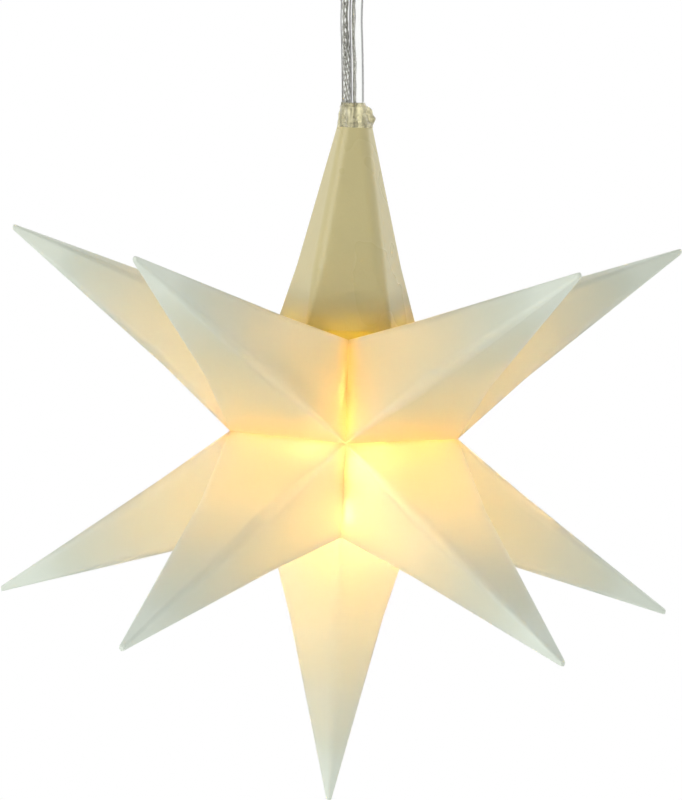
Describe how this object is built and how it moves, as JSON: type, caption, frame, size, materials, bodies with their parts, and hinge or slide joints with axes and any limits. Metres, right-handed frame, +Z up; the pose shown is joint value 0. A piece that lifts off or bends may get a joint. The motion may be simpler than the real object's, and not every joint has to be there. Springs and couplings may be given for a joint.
{
  "type": "led christmas star pendant",
  "caption": "Hanging LED star of hollow translucent points on a lamp cap, on clear twin leads from a small bayonet ceiling fitting.",
  "frame": {"origin": "centre of the ceiling fitting's upper face, where it meets the ceiling", "axes": "+Z up, -Y towards the viewer of the picture, star hanging below"},
  "size_m": [0.1212, 0.1154, 0.1791],
  "materials": {
    "star_plastic": "translucent satin moulding",
    "clear_plastic": "clear moulding",
    "clear_pvc": "clear flexible insulation",
    "tinned_wire": "stranded tinned copper",
    "wire_cover": "thin white insulation",
    "cap_plastic": "opaque beige satin moulding",
    "lamp_plastic": "opaque white moulding",
    "board": "coated circuit board",
    "resistor_body": "lacquered ceramic",
    "led_lens": "warm white LED lens, lit",
    "steel": "plated",
    "fitting_plastic": "white satin moulding",
    "bush_rubber": "soft white",
    "brass": "bare"
  },
  "bodies": {
    "ceiling_fitting": {"rose_plate": "fitting_plastic", "cord_saddle": "fitting_plastic", "clamp_bar": "fitting_plastic", "clamp_screws": "steel", "terminal_block": "fitting_plastic", "terminal_tubes": "brass", "terminal_screws": "steel", "fitting_tails": "clear_pvc"},
    "cup": {"rose_cup": "fitting_plastic", "cup_bush": "bush_rubber"},
    "pendant": {"lead_left": "clear_pvc", "lead_left_core": "tinned_wire", "lead_right": "clear_pvc", "lead_right_core": "tinned_wire", "lead_grommet": "clear_pvc", "lead_crimp": "steel", "top_cap": "cap_plastic", "lamp_plate": "lamp_plastic", "lamp_stem": "lamp_plastic", "stem_ring": "lamp_plastic", "lamp_tails": "wire_cover", "lamp_post": "lamp_plastic", "led_board": "board", "resistor": "resistor_body", "led_front": "led_lens", "led_right": "led_lens", "led_left": "led_lens", "led_upper": "led_lens", "led_back": "led_lens", "led_legs": "tinned_wire"},
    "shell": {"upper_point_1": "star_plastic", "upper_point_2": "star_plastic", "upper_point_3": "star_plastic", "upper_point_4": "star_plastic", "upper_point_5": "star_plastic", "lower_point_1": "star_plastic", "lower_point_2": "star_plastic", "lower_point_3": "star_plastic", "lower_point_4": "star_plastic", "lower_point_5": "star_plastic", "bottom_point": "star_plastic", "seam_clips": "clear_plastic"}
  },
  "joints": [
    {"name": "cup_twist", "type": "hinge", "parent": "ceiling_fitting", "child": "cup", "pos_m": [0, 0, -0.01], "axis": [0, 0, 1], "range_deg": [0, 40]},
    {"name": "pendant_swing", "type": "hinge", "parent": "ceiling_fitting", "child": "pendant", "pos_m": [0, 0, -0.0186], "axis": [1, 0, 0], "range_deg": [-25, 25]},
    {"name": "shell_release", "type": "slide", "parent": "pendant", "child": "shell", "axis": [0, 0, -1], "range_m": [0, 0.06]}
  ]
}
